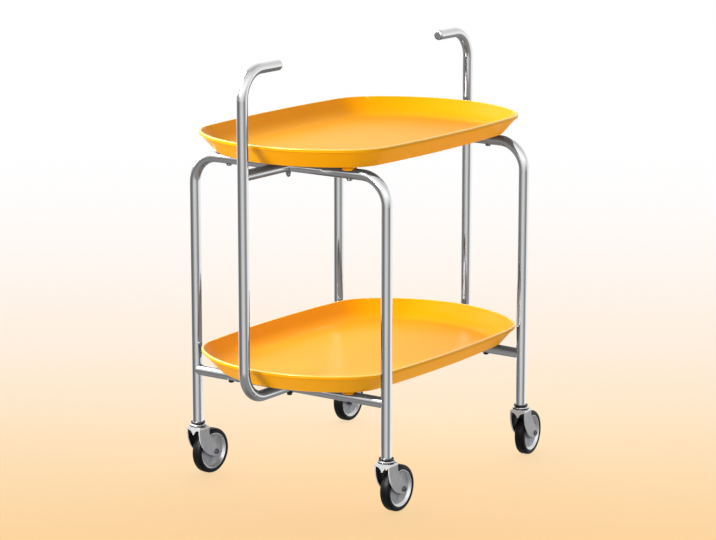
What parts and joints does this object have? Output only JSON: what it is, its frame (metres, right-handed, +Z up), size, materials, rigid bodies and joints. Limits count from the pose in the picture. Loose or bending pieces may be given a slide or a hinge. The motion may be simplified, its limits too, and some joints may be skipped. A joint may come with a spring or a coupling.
{
  "type": "rolling side table",
  "caption": "Rolling side table with two raised-edge oval trays on bent tube frames, hand grips at both ends and swivel castors with rubber tyres.",
  "frame": {"origin": "on the floor, under the middle of the trays", "axes": "+X across the trays to the right, +Y along the trays to the rear handle upright, +Z up"},
  "size_m": [0.4145, 0.657, 0.7165],
  "materials": {
    "tube_chrome": "bright chromed steel tube",
    "cap_plastic": "bright plated dome",
    "tray_plastic": "smooth golden-yellow moulded plastic",
    "screw_black": "blackened steel",
    "bolt_plated": "plated steel",
    "socket_black": "black plastic",
    "stem_plated": "bright plated pressed steel",
    "ball_steel": "greased steel",
    "fork_plated": "plated pressed steel, satin on the legs",
    "axle_dark": "darkened steel",
    "hub_grey": "mottled grey web with a bright bevelled ring",
    "bush_plastic": "ivory plastic",
    "tyre_rubber": "smooth black rubber with a slight gloss"
  },
  "bodies": {
    "frame": {"front_leg_frame": "tube_chrome", "rear_leg_frame": "tube_chrome", "front_crossbar": "tube_chrome", "rear_crossbar": "tube_chrome", "handle_frame": "tube_chrome", "handle_bar": "tube_chrome", "grip_caps": "cap_plastic", "upper_tray": "tray_plastic", "lower_tray": "tray_plastic", "upper_tray_screws": "bolt_plated", "lower_tray_screws": "screw_black", "upper_crossing_bolts": "bolt_plated", "upper_crossing_nuts": "bolt_plated", "lower_crossing_bolts": "bolt_plated", "lower_crossing_washers": "screw_black", "lower_crossing_nuts": "screw_black", "front_left_socket": "socket_black", "front_left_stem": "stem_plated", "front_left_bearing": "ball_steel", "front_right_socket": "socket_black", "front_right_stem": "stem_plated", "front_right_bearing": "ball_steel", "rear_left_socket": "socket_black", "rear_left_stem": "stem_plated", "rear_left_bearing": "ball_steel", "rear_right_socket": "socket_black", "rear_right_stem": "stem_plated", "rear_right_bearing": "ball_steel"},
    "front_left_castor": {"front_left_fork": "fork_plated", "front_left_axle": "axle_dark", "front_left_axle_nut": "axle_dark"},
    "front_left_wheel": {"front_left_hub": "hub_grey", "front_left_bush": "bush_plastic", "front_left_tyre": "tyre_rubber"},
    "front_right_castor": {"front_right_fork": "fork_plated", "front_right_axle": "axle_dark", "front_right_axle_nut": "axle_dark"},
    "front_right_wheel": {"front_right_hub": "hub_grey", "front_right_bush": "bush_plastic", "front_right_tyre": "tyre_rubber"},
    "rear_left_castor": {"rear_left_fork": "fork_plated", "rear_left_axle": "axle_dark", "rear_left_axle_nut": "axle_dark"},
    "rear_left_wheel": {"rear_left_hub": "hub_grey", "rear_left_bush": "bush_plastic", "rear_left_tyre": "tyre_rubber"},
    "rear_right_castor": {"rear_right_fork": "fork_plated", "rear_right_axle": "axle_dark", "rear_right_axle_nut": "axle_dark"},
    "rear_right_wheel": {"rear_right_hub": "hub_grey", "rear_right_bush": "bush_plastic", "rear_right_tyre": "tyre_rubber"}
  },
  "joints": [
    {"name": "front_left_swivel", "type": "hinge", "parent": "frame", "child": "front_left_castor", "pos_m": [-0.18995, -0.201, 0.0867], "axis": [0, 0, 1], "continuous": true},
    {"name": "front_left_roll", "type": "hinge", "parent": "front_left_castor", "child": "front_left_wheel", "pos_m": [-0.18838, -0.17104, 0.038], "axis": [0.9986, -0.0523, 0], "continuous": true},
    {"name": "front_right_swivel", "type": "hinge", "parent": "frame", "child": "front_right_castor", "pos_m": [0.18995, -0.201, 0.0867], "axis": [0, 0, 1], "continuous": true},
    {"name": "front_right_roll", "type": "hinge", "parent": "front_right_castor", "child": "front_right_wheel", "pos_m": [0.18995, -0.171, 0.038], "axis": [1, 0, 0], "continuous": true},
    {"name": "rear_left_swivel", "type": "hinge", "parent": "frame", "child": "rear_left_castor", "pos_m": [-0.18995, 0.201, 0.0867], "axis": [0, 0, 1], "continuous": true},
    {"name": "rear_left_roll", "type": "hinge", "parent": "rear_left_castor", "child": "rear_left_wheel", "pos_m": [-0.191, 0.23098, 0.038], "axis": [0.9994, 0.0349, 0], "continuous": true},
    {"name": "rear_right_swivel", "type": "hinge", "parent": "frame", "child": "rear_right_castor", "pos_m": [0.18995, 0.201, 0.0867], "axis": [0, 0, 1], "continuous": true},
    {"name": "rear_right_roll", "type": "hinge", "parent": "rear_right_castor", "child": "rear_right_wheel", "pos_m": [0.1863, 0.23078, 0.038], "axis": [0.9925, 0.1219, 0], "continuous": true}
  ]
}
